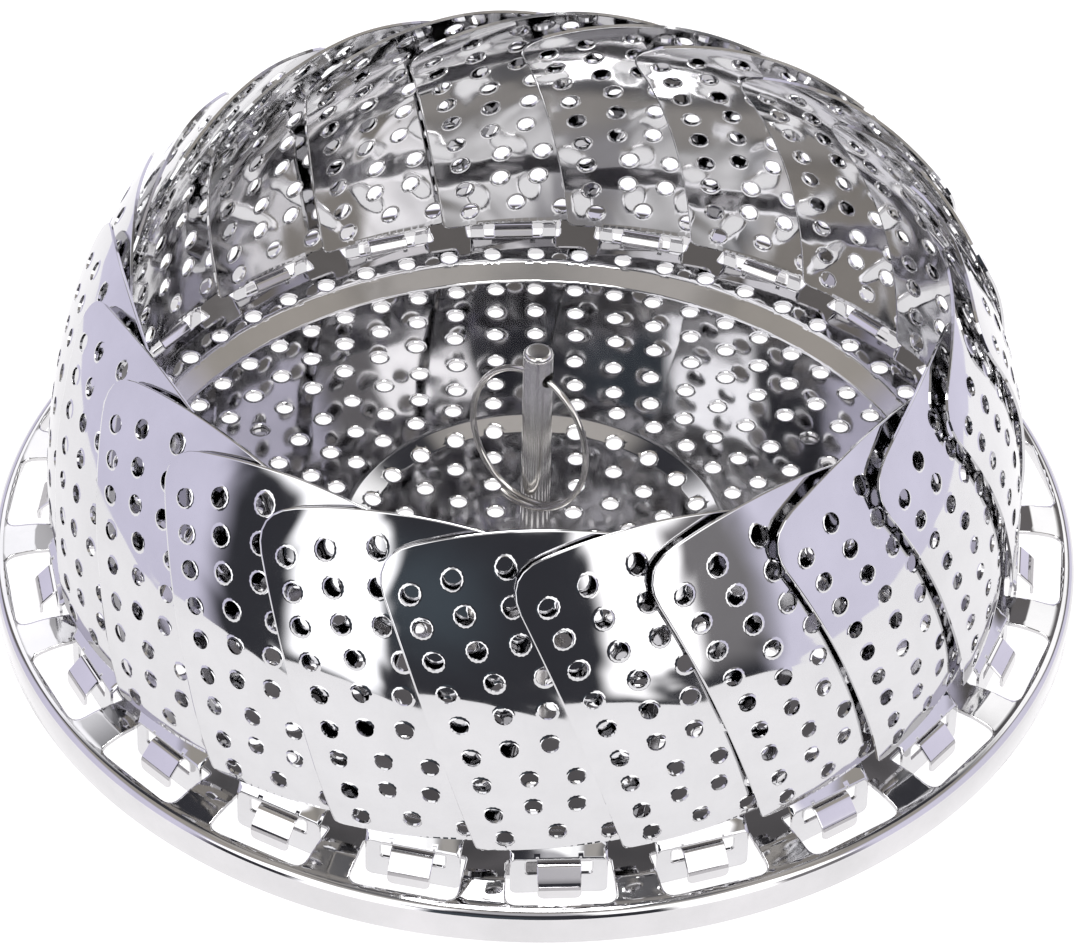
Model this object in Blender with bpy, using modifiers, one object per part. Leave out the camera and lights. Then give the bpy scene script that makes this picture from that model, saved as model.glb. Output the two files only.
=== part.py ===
"""Folding steamer basket: a pressed base plate, a ring of overlapping petals, a post with a ring, folding legs."""

import math

import bmesh
import bpy
from mathutils import Matrix, Vector

# Units
mm = 0.001

# Counts and angles
petal_count = 22
petal_phase = math.radians(-3.6)
leg_count = 3
leg_phase = math.radians(60.0)
plate_steps = 2 * petal_count
round_steps = 24
small_round_steps = 12
hole_sides = 6

# Overall sizes
rim_radius = 92.0 * mm
stand_height = 22.0 * mm
clearance = 0.3 * mm
overrun = 3.0 * mm

# Base plate
plate_sheet = 0.6 * mm
skirt_height = 6.7 * mm
rim_roll = 1.4 * mm
rim_land = 0.9 * mm
rim_drop = 0.8 * mm
slope_width = 4.2 * mm
flange_width = 6.6 * mm
band_width = 3.4 * mm
floor_drop = 2.4 * mm
dish_top_radius = 33.1 * mm
dish_foot_radius = 29.2 * mm
dish_drop = 1.0 * mm

# Windows in the flange and the tongues that carry the petals
window_depth = 9.4 * mm
window_edge_strip = 2.4 * mm
bridge_inner_width = 6.3 * mm
bridge_outer_width = 7.6 * mm
window_corner = 1.3 * mm
tongue_sheet = 0.5 * mm
tongue_width = 7.0 * mm
tongue_root = 1.0 * mm
tongue_bead_foot = 1.7 * mm
tongue_bead_width = 1.0 * mm
tongue_bead_rise = 1.1 * mm
tongue_reach = 2.9 * mm
tongue_drop = 1.3 * mm
tongue_tip = 2.2 * mm
tongue_corner = 0.8 * mm

# Petal hinge, measured from the inner edge of a window
hinge_inset = 1.8 * mm
foot_side_gap = 0.5 * mm
slot_side_gap = 1.8 * mm
slot_rise = 1.9 * mm
slot_fall = 0.9 * mm
foot_bend_rise = 2.3 * mm
foot_fall = 5.0 * mm
foot_corner = 1.1 * mm

# Petal wall
petal_sheet = 0.45 * mm
wall_step_in = 1.3 * mm
wall_rise = 3.5 * mm
wall_length = 54.3 * mm
wall_bow_radius = 82.0 * mm
wall_foot_lean = math.radians(7.0)
tip_arch = 4.05 * mm
wall_foot_lap = 2.95 * mm
wall_flare = 24.0 * mm
tip_curl_step = 7.4 * mm
tip_corner = 6.0 * mm
foot_twist = math.radians(5.0)
tip_twist = math.radians(4.5)
wall_slant = math.radians(4.6)
wall_rows = 4

# Perforation
hole_diameter = 3.3 * mm
wall_hole_row_shares = (0.125, 0.375, 0.625, 0.875)
wall_hole_column_shares = (-0.79, -0.2, 0.2, 0.79)
flange_ring_inset = 3.6 * mm
floor_ring_shares = (0.22, 0.74)
dish_ring_share = 0.62

# Centre post and its fixing
post_diameter = 5.0 * mm
post_height = 42.0 * mm
post_chamfer = 0.8 * mm
stud_diameter = 3.4 * mm
eye_drop = 5.0 * mm
eye_diameter = 2.8 * mm
eye_azimuth = math.radians(39.0)
washer_diameter = 12.0 * mm
washer_height = 0.8 * mm
nut_across_corners = 8.1 * mm
nut_height = 3.0 * mm
stud_end = 0.6 * mm

# Ring handle, a wire wound just past one turn
ring_radius = 12.45 * mm
ring_wire = 1.1 * mm
ring_self_gap = 0.45 * mm
ring_wire_drop = 0.2 * mm
ring_overlap = math.radians(62.0)
ring_start = math.radians(16.0)
ring_turn_points = 28

# Folding legs
leg_inset = 14.2 * mm
leg_sheet = 0.8 * mm
leg_width = 7.0 * mm
pin_diameter = 2.0 * mm
pin_head_diameter = 3.4 * mm
pin_head = 0.6 * mm
bracket_sheet = 0.8 * mm
bracket_length = 7.0 * mm
bracket_drop = 5.4 * mm
pin_drop = 3.2 * mm
foot_pad = 4.6 * mm
leg_eye_turn = math.radians(250.0)
leg_eye_points = 9

# Places worked out from the sizes above
plate_level = stand_height
floor_level = plate_level - floor_drop
dish_level = floor_level - dish_drop
window_outer_radius = rim_radius - window_edge_strip
window_inner_radius = window_outer_radius - window_depth
window_inner_width = math.tau * window_inner_radius / petal_count - bridge_inner_width
window_outer_width = math.tau * window_outer_radius / petal_count - bridge_outer_width
band_top_radius = window_inner_radius - flange_width
band_foot_radius = band_top_radius - band_width
leg_radius = band_foot_radius - leg_inset
hinge_radius = window_inner_radius + hinge_inset
foot_curl_radius = hinge_radius - wall_step_in
tip_curl_radius = foot_curl_radius - tip_curl_step
wall_foot_width = math.tau * foot_curl_radius / petal_count + wall_foot_lap
wall_tip_width = wall_foot_width + wall_flare
foot_width = window_inner_width - 2 * foot_side_gap
slot_width = tongue_width + 2 * slot_side_gap
post_foot = dish_level + plate_sheet / 2 + clearance
post_top = post_foot + post_height
eye_level = post_top - eye_drop
wire_level = eye_level - ring_wire_drop
bracket_top = floor_level - plate_sheet / 2 - clearance
pin_level = bracket_top - pin_drop


def clear_scene():
    """Remove whatever the open file holds."""
    for old in list(bpy.data.objects):
        bpy.data.objects.remove(old, do_unlink=True)


def new_collection(name):
    """Make a collection under the scene."""
    made = bpy.data.collections.new(name)
    bpy.context.scene.collection.children.link(made)
    return made


def steel(name, colour, roughness):
    """A polished stainless steel with its own tone."""
    made = bpy.data.materials.new(name)
    made.use_nodes = True
    shader = made.node_tree.nodes["Principled BSDF"]
    shader.inputs["Base Color"].default_value = (*colour, 1.0)
    shader.inputs["Metallic"].default_value = 1.0
    shader.inputs["Roughness"].default_value = roughness
    return made


def add_object(name, mesh, group, material=None):
    """Link a mesh as an object, shaded smooth between its sharp edges."""
    made = bpy.data.objects.new(name, mesh)
    group.objects.link(made)
    if material and not mesh.materials:
        mesh.materials.append(material)
    mesh.shade_smooth()
    mesh.set_sharp_from_angle(angle=math.radians(28.0))
    return made


def mesh_from(shape, name):
    """Turn a bmesh into a mesh with its faces pointing out."""
    mesh = bpy.data.meshes.new(name)
    shape.to_mesh(mesh)
    shape.free()
    return mesh


def hide_as_cutter(item):
    """Keep a cutter out of the picture."""
    item.hide_render = True
    item.display_type = "WIRE"


def cutter(name, mesh):
    """A hidden object that other pieces are cut or joined by."""
    made = add_object(name, mesh, cutters)
    hide_as_cutter(made)
    return made


def boolean(item, tool, operation="DIFFERENCE"):
    """Cut or join with the exact solver."""
    step = item.modifiers.new(tool.name, "BOOLEAN")
    step.operation = operation
    step.solver = "EXACT"
    step.object = tool


def solidify(item, thickness):
    """Give a sheet its thickness about its middle surface."""
    step = item.modifiers.new("Sheet", "SOLIDIFY")
    step.thickness = thickness
    step.offset = 0.0
    step.use_even_offset = True


def turn(item, steps):
    """Turn a profile about the vertical axis."""
    step = item.modifiers.new("Turn", "SCREW")
    step.steps = steps
    step.render_steps = steps
    step.use_merge_vertices = True
    step.merge_threshold = 0.01 * mm
    step.use_smooth_shade = True


def profile_mesh(name, points, closed=False):
    """A chain of edges in the plane of X and Z."""
    shape = bmesh.new()
    row = [shape.verts.new((x, 0, z)) for x, z in points]
    for first, second in zip(row, row[1:]):
        shape.edges.new((first, second))
    if closed:
        shape.edges.new((row[-1], row[0]))
    return mesh_from(shape, name)


def strip_mesh(name, path, width):
    """An open sheet that follows a path in the plane of Y and Z, with its width along X."""
    shape = bmesh.new()
    row = [shape.verts.new((-width / 2, y, z)) for y, z in path]
    edges = [shape.edges.new(pair) for pair in zip(row, row[1:])]
    grown = bmesh.ops.extrude_edge_only(shape, edges=edges)["geom"]
    moved = [part for part in grown if isinstance(part, bmesh.types.BMVert)]
    bmesh.ops.translate(shape, verts=moved, vec=(width, 0, 0))
    return mesh_from(shape, name)


def evaluated_mesh(item, name):
    """The mesh that an object's modifiers make."""
    bpy.context.view_layer.update()
    graph = bpy.context.evaluated_depsgraph_get()
    mesh = bpy.data.meshes.new_from_object(item.evaluated_get(graph))
    mesh.name = name
    return mesh


def clock_matrix(angle, radius=0.0, height=0.0):
    """Stand at an angle counted clockwise from +Y, facing out along the local +Y."""
    place = Matrix.Translation((radius * math.sin(angle), radius * math.cos(angle), height))
    return place @ Matrix.Rotation(-angle, 4, "Z")


def petal_angle(index):
    """The place of one petal round the plate."""
    return petal_phase + index * math.tau / petal_count


def prism(shape, outline, low, high, matrix):
    """Add a straight prism on a flat outline."""
    ring = [shape.verts.new((x, y, low)) for x, y in outline]
    base = shape.faces.new(ring)
    grown = bmesh.ops.extrude_face_region(shape, geom=[base])["geom"]
    top = [part for part in grown if isinstance(part, bmesh.types.BMVert)]
    bmesh.ops.translate(shape, verts=top, vec=(0, 0, high - low))
    bmesh.ops.transform(shape, verts=ring + top, matrix=matrix)


def round_cutter(shape, matrix, diameter, length, sides):
    """Add a closed round bar about the local Z."""
    radius = diameter / 2
    bmesh.ops.create_cone(
        shape, cap_ends=True, segments=sides, radius1=radius, radius2=radius, depth=length, matrix=matrix
    )


def finish_cutter(shape, name):
    """Close a cutter's mesh with its faces pointing out."""
    bmesh.ops.recalc_face_normals(shape, faces=shape.faces)
    return cutter(name, mesh_from(shape, name))


# Base plate
def plate_profile():
    """The middle of the plate's sheet, from the stud hole out to the skirt's lower edge."""
    skirt_radius = rim_radius - plate_sheet / 2
    roll_centre = (skirt_radius - rim_roll, plate_level - rim_drop - rim_roll)
    roll = [
        (roll_centre[0] + rim_roll * math.sin(turned), roll_centre[1] + rim_roll * math.cos(turned))
        for turned in (math.radians(degrees) for degrees in (0, 30, 60, 90))
    ]
    slope_start = roll_centre[0] - rim_land - slope_width
    return [
        (stud_diameter / 2 + clearance, dish_level),
        (dish_foot_radius, dish_level),
        (dish_top_radius, floor_level),
        (band_foot_radius, floor_level),
        (band_top_radius, plate_level),
        (slope_start, plate_level),
        (roll_centre[0] - rim_land, plate_level - rim_drop),
        *roll,
        (skirt_radius, plate_level - skirt_height),
    ]


def window_outline():
    """One window seen from above, wider outside, with its outer corners cut."""
    inner = window_inner_width / 2
    outer = window_outer_width / 2
    return [
        (-inner, window_inner_radius),
        (inner, window_inner_radius),
        (outer, window_outer_radius - window_corner),
        (outer - window_corner, window_outer_radius),
        (window_corner - outer, window_outer_radius),
        (-outer, window_outer_radius - window_corner),
    ]


def window_cutter():
    """All the windows of the flange as one tool."""
    shape = bmesh.new()
    for index in range(petal_count):
        low = plate_level - overrun
        high = plate_level + overrun
        prism(shape, window_outline(), low, high, clock_matrix(petal_angle(index)))
    return finish_cutter(shape, "window_cutter")


def ring_of_holes(shape, radius, count, phase):
    """Add a ring of upright cutters for round holes."""
    for index in range(count):
        matrix = clock_matrix(phase + index * math.tau / count, radius, floor_level)
        round_cutter(shape, matrix, hole_diameter, 2 * overrun + floor_drop + dish_drop, hole_sides)


def plate_hole_cutter():
    """Holes of the flange, the floor and the dish."""
    shape = bmesh.new()
    step = math.tau / plate_steps
    ring_of_holes(shape, band_top_radius + flange_ring_inset, petal_count, step / 2)
    floor_width = band_foot_radius - dish_top_radius
    for number, share in enumerate(floor_ring_shares):
        radius = dish_top_radius + share * floor_width
        ring_of_holes(shape, radius, petal_count, (number + 0.5) * step)
    ring_of_holes(shape, dish_ring_share * dish_foot_radius, petal_count // 2, step / 2)
    return finish_cutter(shape, "plate_hole_cutter")


def tongue_stock():
    """The beaded tongues that the petals hang and turn on, rooted at the windows' inner edges."""
    bead_top = plate_level + tongue_bead_rise
    tip_top = plate_level - tongue_drop
    path = [
        (window_inner_radius - tongue_root, plate_level),
        (hinge_radius - tongue_bead_foot, plate_level),
        (hinge_radius - tongue_bead_width / 2, bead_top),
        (hinge_radius + tongue_bead_width / 2, bead_top),
        (hinge_radius + tongue_reach, tip_top),
        (hinge_radius + tongue_reach, tip_top - tongue_tip),
    ]
    one = bmesh.new()
    one.from_mesh(strip_mesh("tongue", path, tongue_width))
    tips = [v for v in one.verts if v.co.z < path[-1][1] + clearance]
    bmesh.ops.bevel(one, geom=tips, offset=tongue_corner, segments=1, affect="VERTICES")
    single = mesh_from(one, "tongue_sheet")
    every = bmesh.new()
    for index in range(petal_count):
        copy = single.copy()
        copy.transform(clock_matrix(petal_angle(index)))
        every.from_mesh(copy)
        bpy.data.meshes.remove(copy)
    stock = cutter("tongue_stock", mesh_from(every, "tongue_stock"))
    solidify(stock, tongue_sheet)
    return stock


def make_plate():
    """One pressed sheet: dish, floor, band, flange, rim and skirt, with windows and tongues."""
    plate = add_object("base_plate", profile_mesh("base_plate", plate_profile()), parts, plate_steel)
    turn(plate, plate_steps)
    solidify(plate, plate_sheet)
    boolean(plate, window_cutter())
    boolean(plate, plate_hole_cutter())
    boolean(plate, tongue_stock(), "UNION")


# Petals, each modelled about its hinge axis: X along the axis, Y outwards, Z up
def wall_frame(along):
    """Middle of the wall at a share of its length: its place, lean and arc length."""
    travelled = along * wall_length
    lean = travelled / wall_bow_radius - wall_foot_lean
    out = wall_bow_radius * (math.cos(lean) - math.cos(wall_foot_lean)) - wall_step_in
    up = wall_rise + wall_bow_radius * (math.sin(lean) + math.sin(wall_foot_lean))
    return out, up, lean, travelled


def blend(first, last, share):
    """A value part of the way between two others."""
    return first + (last - first) * share


def wall_point(across, along):
    """A point on the wall's middle surface, from its shares across and along."""
    arched = along + tip_arch / wall_length * (1 - across**2) * along**4
    out, up, lean, travelled = wall_frame(arched)
    width = across * blend(wall_foot_width, wall_tip_width, along) / 2
    curl = blend(1 / foot_curl_radius, 1 / tip_curl_radius, along)
    sink = -(width**2) * curl / 2
    twist = blend(foot_twist, tip_twist, along)
    side = width * math.cos(twist) - sink * math.sin(twist) + travelled * math.tan(wall_slant)
    normal = width * math.sin(twist) + sink * math.cos(twist)
    return Vector((side, out + normal * math.cos(lean), up + normal * math.sin(lean)))


def wall_normal(across, along):
    """The wall's outward direction at a point."""
    step = 1 / petal_count
    over = wall_point(across + step, along) - wall_point(across - step, along)
    rise = wall_point(across, along + step) - wall_point(across, along - step)
    return rise.cross(over).normalized()


def column_shares():
    """Where the wall's columns stand, so that the foot and its slot continue them."""
    foot = foot_width / wall_foot_width
    slot = slot_width / wall_foot_width
    return (-1, -foot, -slot, slot, foot, 1)


def petal_sheet_mesh():
    """The petal's middle surface: a bowed wall, and a foot that steps out and down through a window."""
    columns = column_shares()
    shape = bmesh.new()
    bmesh.ops.create_grid(shape, x_segments=len(columns) - 1, y_segments=wall_rows, size=1)
    low_row = {}
    tips = []
    for vert in shape.verts:
        column = round((vert.co.x + 1) / 2 * (len(columns) - 1))
        row = round((vert.co.y + 1) / 2 * wall_rows)
        vert.co = wall_point(columns[column], row / wall_rows)
        if row == 0:
            low_row[column] = vert
        if row == wall_rows and abs(columns[column]) == 1:
            tips.append(vert)
    add_foot(shape, [low_row[column] for column in range(1, len(columns) - 1)])
    bmesh.ops.bevel(shape, geom=tips, offset=tip_corner, segments=2, affect="VERTICES")
    return mesh_from(shape, "petal_sheet")


def add_foot(shape, row):
    """Grow the foot down from the wall's lower edge and open its slot."""
    sides = [-foot_width / 2, -slot_width / 2, slot_width / 2, foot_width / 2]
    for level in (foot_bend_rise, slot_rise, -slot_fall, -foot_fall):
        edges = [shape.edges.get(pair) for pair in zip(row, row[1:])]
        grown = bmesh.ops.extrude_edge_only(shape, edges=edges)["geom"]
        fresh = {part for part in grown if isinstance(part, bmesh.types.BMVert)}
        row = [next(e.other_vert(v) for e in v.link_edges if e.other_vert(v) in fresh) for v in row]
        for vert, side in zip(row, sides):
            vert.co = (side, 0, level)
    slot = [f for f in shape.faces if is_slot_face(f)]
    bmesh.ops.delete(shape, geom=slot, context="FACES_ONLY")
    corners = [row[0], row[-1]]
    bmesh.ops.bevel(shape, geom=corners, offset=foot_corner, segments=1, affect="VERTICES")


def is_slot_face(face):
    """Tell the slot's face from its neighbours by its middle."""
    middle = face.calc_center_median()
    return abs(middle.x) < slot_width / 4 and -slot_fall < middle.z < slot_rise and abs(middle.y) < clearance


def petal_hole_cutter():
    """Bars square to the wall, one for each hole, in a plain grid."""
    shape = bmesh.new()
    for along in wall_hole_row_shares:
        for across in wall_hole_column_shares:
            turned = wall_normal(across, along).to_track_quat("Z", "Y").to_matrix().to_4x4()
            matrix = Matrix.Translation(wall_point(across, along)) @ turned
            round_cutter(shape, matrix, hole_diameter, overrun, hole_sides)
    return finish_cutter(shape, "petal_hole_cutter")


def make_petals():
    """Every petal shares one pressed shape and stands on its own hinge axis."""
    pattern = cutter("petal_pattern", petal_sheet_mesh())
    solidify(pattern, petal_sheet)
    boolean(pattern, petal_hole_cutter())
    mesh = evaluated_mesh(pattern, "petal")
    mesh.materials.clear()
    for index in range(petal_count):
        petal = add_object(f"petal_{index + 1:02d}", mesh, parts, petal_steel)
        petal.matrix_world = clock_matrix(petal_angle(index), hinge_radius, plate_level)


# Centre post
def make_post():
    """A turned post with a cross hole for the ring and a stud that goes through the dish."""
    radius = post_diameter / 2
    stud = stud_diameter / 2
    nut_foot = dish_level - plate_sheet / 2 - 2 * clearance - washer_height - nut_height
    points = [
        (0, post_top),
        (radius - post_chamfer, post_top),
        (radius - post_chamfer / 3, post_top - post_chamfer / 3),
        (radius, post_top - post_chamfer),
        (radius, post_foot),
        (stud, post_foot),
        (stud, nut_foot - stud_end),
        (0, nut_foot - stud_end),
    ]
    post = add_object("centre_post", profile_mesh("centre_post", points), parts, post_steel)
    turn(post, round_steps)
    shape = bmesh.new()
    across = Matrix.Translation((0, 0, eye_level)) @ Matrix.Rotation(-eye_azimuth, 4, "Z")
    lying = Matrix.Rotation(math.pi / 2, 4, "Y")
    round_cutter(shape, across @ lying, eye_diameter, post_diameter + overrun, small_round_steps)
    boolean(post, finish_cutter(shape, "post_eye_cutter"))


def turned_ring(name, inner, outer, low, high, steps, material):
    """A flat ring of rectangular section."""
    points = [(inner, high), (outer, high), (outer, low), (inner, low)]
    item = add_object(name, profile_mesh(name, points, closed=True), parts, material)
    turn(item, steps)
    return item


def make_post_fixing():
    """A washer and a hexagon nut under the dish."""
    bore = stud_diameter / 2 + clearance
    washer_top = dish_level - plate_sheet / 2 - clearance
    washer_low = washer_top - washer_height
    turned_ring("post_washer", bore, washer_diameter / 2, washer_low, washer_top, small_round_steps, post_steel)
    nut_top = washer_low - clearance
    shape = bmesh.new()
    matrix = Matrix.Translation((0, 0, nut_top - nut_height / 2))
    round_cutter(shape, matrix, nut_across_corners, nut_height, 6)
    nut = add_object("post_nut", mesh_from(shape, "post_nut"), parts, post_steel)
    shape = bmesh.new()
    round_cutter(shape, matrix, 2 * bore, nut_height + overrun, small_round_steps)
    boolean(nut, finish_cutter(shape, "nut_bore_cutter"))


# Ring handle
def ring_tilt():
    """Lean of the hanging ring, from the post, both wires and the clearance."""
    standoff = post_diameter / 2 + ring_wire / 2 + (ring_wire + ring_self_gap) / 2 + clearance
    return math.asin(standoff / (2 * ring_radius))


def ring_path():
    """One turn and a bit: flat on its hinge line at the top, its ends side by side near the bottom."""
    pitch = (ring_wire + ring_self_gap) / math.tau
    first = -math.pi + ring_start - ring_overlap
    last = math.pi + ring_start
    count = round(ring_turn_points * (last - first) / math.tau)
    points = []
    for number in range(count + 1):
        angle = blend(first, last, number / count)
        side = ring_radius * math.sin(angle)
        drop = ring_radius * (math.cos(angle) - 1)
        points.append(Vector((side, -pitch * angle, drop)))
    return points


def least_self_gap(points):
    """The narrowest space between the wire and itself where its ends pass."""
    apart = len(points) // 2
    pairs = [(a, b) for a in range(len(points)) for b in range(a + apart, len(points))]
    return min((points[a] - points[b]).length for a, b in pairs) - ring_wire


def make_ring():
    """The wire ring that hangs from the post's eye and swings about it."""
    points = ring_path()
    print("ring handle, least gap to itself in mm:", round(least_self_gap(points) / mm, 3))
    curve = bpy.data.curves.new("ring_handle", "CURVE")
    curve.dimensions = "3D"
    curve.bevel_depth = ring_wire / 2
    curve.bevel_resolution = 2
    curve.use_fill_caps = True
    line = curve.splines.new("POLY")
    line.points.add(len(points) - 1)
    for spot, point in zip(line.points, points):
        spot.co = (*point, 1.0)
    drawn = bpy.data.objects.new("ring_curve", curve)
    cutters.objects.link(drawn)
    mesh = evaluated_mesh(drawn, "ring_handle")
    bpy.data.objects.remove(drawn)
    shape = bmesh.new()
    shape.from_mesh(mesh)
    bmesh.ops.remove_doubles(shape, verts=shape.verts, dist=0.01 * mm)
    bmesh.ops.recalc_face_normals(shape, faces=shape.faces)
    shape.to_mesh(mesh)
    shape.free()
    ring = add_object("ring_handle", mesh, parts, wire_steel)
    turned = Matrix.Rotation(-eye_azimuth, 4, "Z") @ Matrix.Rotation(-ring_tilt(), 4, "X")
    ring.matrix_world = Matrix.Translation((0, 0, wire_level)) @ turned


# Legs, each about its pin: X along the pin, Y outwards, Z up
def leg_angle(index):
    """The place of one leg round the plate."""
    return leg_phase + index * math.tau / leg_count


def leg_path():
    """The middle of a leg's strip: its curled eye, its shank and its foot pad."""
    curl = pin_diameter / 2 + clearance + leg_sheet / 2
    path = []
    for number in range(leg_eye_points + 1):
        angle = leg_eye_turn * (1 - number / leg_eye_points)
        path.append((curl * math.cos(angle), curl * math.sin(angle)))
    low = leg_sheet / 2 - pin_level
    path.append((curl, low))
    path.append((curl + foot_pad, low))
    return path


def make_leg(index):
    """A strip leg curled round its pin."""
    name = f"leg_{index + 1}"
    leg = add_object(name, strip_mesh(name, leg_path(), leg_width), parts, leg_steel)
    solidify(leg, leg_sheet)
    leg.matrix_world = clock_matrix(leg_angle(index), leg_radius, pin_level)


def make_bracket(index):
    """A channel under the floor whose two ears hold the pin."""
    name = f"leg_bracket_{index + 1}"
    half = leg_width / 2 + clearance + bracket_sheet / 2
    high = pin_drop - bracket_sheet / 2
    path = [(-half, pin_drop - bracket_drop), (-half, high), (half, high), (half, pin_drop - bracket_drop)]
    mesh = strip_mesh(name, path, bracket_length)
    mesh.transform(Matrix.Rotation(math.pi / 2, 4, "Z"))
    bracket = add_object(name, mesh, parts, leg_steel)
    solidify(bracket, bracket_sheet)
    bracket.matrix_world = clock_matrix(leg_angle(index), leg_radius, pin_level)
    shape = bmesh.new()
    matrix = bracket.matrix_world @ Matrix.Rotation(math.pi / 2, 4, "Y")
    round_cutter(shape, matrix, pin_diameter + 2 * clearance, leg_width + 2 * overrun, small_round_steps)
    boolean(bracket, finish_cutter(shape, f"pin_hole_cutter_{index + 1}"))


def make_pin(index):
    """A headed pin through the ears and the leg's eye."""
    name = f"leg_pin_{index + 1}"
    radius = pin_diameter / 2
    head = pin_head_diameter / 2
    shoulder = leg_width / 2 + bracket_sheet + 2 * clearance
    end = shoulder + pin_head
    points = [(0, end), (head, end), (head, shoulder), (radius, shoulder)]
    points += [(radius, -shoulder), (head, -shoulder), (head, -end), (0, -end)]
    pin = add_object(name, profile_mesh(name, points), parts, leg_steel)
    turn(pin, small_round_steps)
    lying = Matrix.Rotation(math.pi / 2, 4, "Y")
    pin.matrix_world = clock_matrix(leg_angle(index), leg_radius, pin_level) @ lying


def make_legs():
    """Three legs, with their brackets and pins."""
    for index in range(leg_count):
        make_bracket(index)
        make_pin(index)
        make_leg(index)


clear_scene()
parts = new_collection("folding_steamer_basket")
cutters = new_collection("cutters")
plate_steel = steel("plate_steel", (0.78, 0.77, 0.78), 0.08)
petal_steel = steel("petal_steel", (0.80, 0.80, 0.82), 0.06)
post_steel = steel("post_steel", (0.72, 0.71, 0.70), 0.14)
wire_steel = steel("wire_steel", (0.76, 0.75, 0.73), 0.10)
leg_steel = steel("leg_steel", (0.70, 0.70, 0.71), 0.22)
make_plate()
make_petals()
make_post()
make_post_fixing()
make_ring()
make_legs()
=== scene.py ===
import math

import bmesh
import bpy
import numpy as np
from mathutils import Matrix, Vector
from mathutils.geometry import delaunay_2d_cdt


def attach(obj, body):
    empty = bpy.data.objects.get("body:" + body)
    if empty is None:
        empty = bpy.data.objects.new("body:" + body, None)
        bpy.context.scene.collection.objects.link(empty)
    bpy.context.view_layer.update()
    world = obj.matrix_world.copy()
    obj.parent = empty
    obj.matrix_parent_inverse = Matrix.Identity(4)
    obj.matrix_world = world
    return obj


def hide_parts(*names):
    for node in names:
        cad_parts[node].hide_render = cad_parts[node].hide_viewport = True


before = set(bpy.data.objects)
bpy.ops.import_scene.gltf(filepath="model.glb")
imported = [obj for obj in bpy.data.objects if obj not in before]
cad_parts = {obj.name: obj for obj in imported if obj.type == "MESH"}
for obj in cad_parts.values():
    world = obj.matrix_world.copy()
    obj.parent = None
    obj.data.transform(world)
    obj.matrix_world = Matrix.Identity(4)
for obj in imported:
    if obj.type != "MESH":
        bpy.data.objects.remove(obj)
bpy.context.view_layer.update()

mm = 0.001

# Sizes shared with the solids
petal_count = 22
petal_phase = math.radians(-3.6)
plate_level = 22.0 * mm
plate_sheet = 0.6 * mm
rim_radius = 92.0 * mm
skirt_height = 6.7 * mm
rim_roll = 1.4 * mm
rim_land = 0.9 * mm
rim_drop = 0.8 * mm
slope_width = 4.2 * mm
band_top = 73.6 * mm
band_foot = 70.2 * mm
floor_drop = 2.4 * mm
dish_top = 33.1 * mm
dish_foot = 29.2 * mm
dish_drop = 1.0 * mm
window_outer = 89.6 * mm
window_inner = 80.2 * mm
window_inner_width = 16.6 * mm
window_outer_width = 18.0 * mm
hinge_radius = 82.0 * mm
floor_level = plate_level - floor_drop
dish_level = floor_level - dish_drop
roll_start = rim_radius - plate_sheet / 2 - rim_roll
slope_end = roll_start - rim_land
slope_start = slope_end - slope_width

petal_sheet = 0.45 * mm
wall_step_in = 1.3 * mm
wall_rise = 3.5 * mm
wall_length = 54.3 * mm
wall_bow = 82.0 * mm
wall_foot_lean = math.radians(7.0)
tip_arch = 4.05 * mm
wall_foot_half = 13.0 * mm
wall_tip_half = 25.0 * mm
foot_curl = 80.7 * mm
tip_curl = 73.3 * mm
foot_twist = math.radians(5.0)
tip_twist = math.radians(4.5)
wall_slant = math.radians(4.6)
foot_half = 7.8 * mm
foot_bend = 2.3 * mm
foot_fall = 5.0 * mm
slot_half = 5.3 * mm
slot_rise = 1.9 * mm
slot_fall = 0.9 * mm

# How a cut edge of the sheet is rounded
edge_width = 0.3 * mm
edge_slope = 0.8

# A punched hole: its radius, its sides, and rings of radius, depth and slope out to the flat sheet
hole_radius = 1.46 * mm
hole_sides = 16
lip_rings = ((1.0, 1.0, 0.5), (1.1, 0.5, 0.36), (1.22, 0.1, 0.1), (1.36, 0.0, 0.0))
lip_clearance = 1.52 * hole_radius


# Shapes in the flat
def round_outline(points, radii, steps=5):
    """A closed outline whose corners are rounded by their own radii."""
    out = []
    count = len(points)
    for i, (point, radius) in enumerate(zip(points, radii)):
        before = np.array(points[i - 1], float)
        here = np.array(point, float)
        after = np.array(points[(i + 1) % count], float)
        a = before - here
        b = after - here
        a /= np.linalg.norm(a)
        b /= np.linalg.norm(b)
        half = math.acos(max(-1.0, min(1.0, float(a @ b)))) / 2
        reach = radius / math.tan(half)
        first = here + a * reach
        last = here + b * reach
        for k in range(steps + 1):
            t = k / steps
            out.append(tuple((1 - t) ** 2 * first + 2 * t * (1 - t) * here + t * t * last))
    return out


def refine(outline, spacing):
    """Put points along the long sides of a closed outline."""
    out = []
    for i, a in enumerate(outline):
        b = outline[(i + 1) % len(outline)]
        steps = max(1, math.ceil(math.dist(a, b) / spacing))
        out += [(a[0] + (b[0] - a[0]) * k / steps, a[1] + (b[1] - a[1]) * k / steps) for k in range(steps)]
    return out


def inside(points, outline):
    """Which of the points lie inside a closed outline."""
    x, y = points[:, 0], points[:, 1]
    found = np.zeros(len(points), bool)
    a = np.array(outline)
    b = np.roll(a, -1, axis=0)
    for (x0, y0), (x1, y1) in zip(a, b):
        if y0 == y1:
            continue
        found ^= ((y0 > y) != (y1 > y)) & (x < (x1 - x0) * (y - y0) / (y1 - y0) + x0)
    return found


def near_outline(points, outline, reach):
    """Which of the points lie close to an outline's points."""
    marks = np.array(outline)
    found = np.zeros(len(points), bool)
    for start in range(0, len(points), 2000):
        block = points[start : start + 2000]
        gap = np.linalg.norm(block[:, None, :] - marks[None, :, :], axis=2).min(axis=1)
        found[start : start + 2000] = gap < reach
    return found


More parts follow.
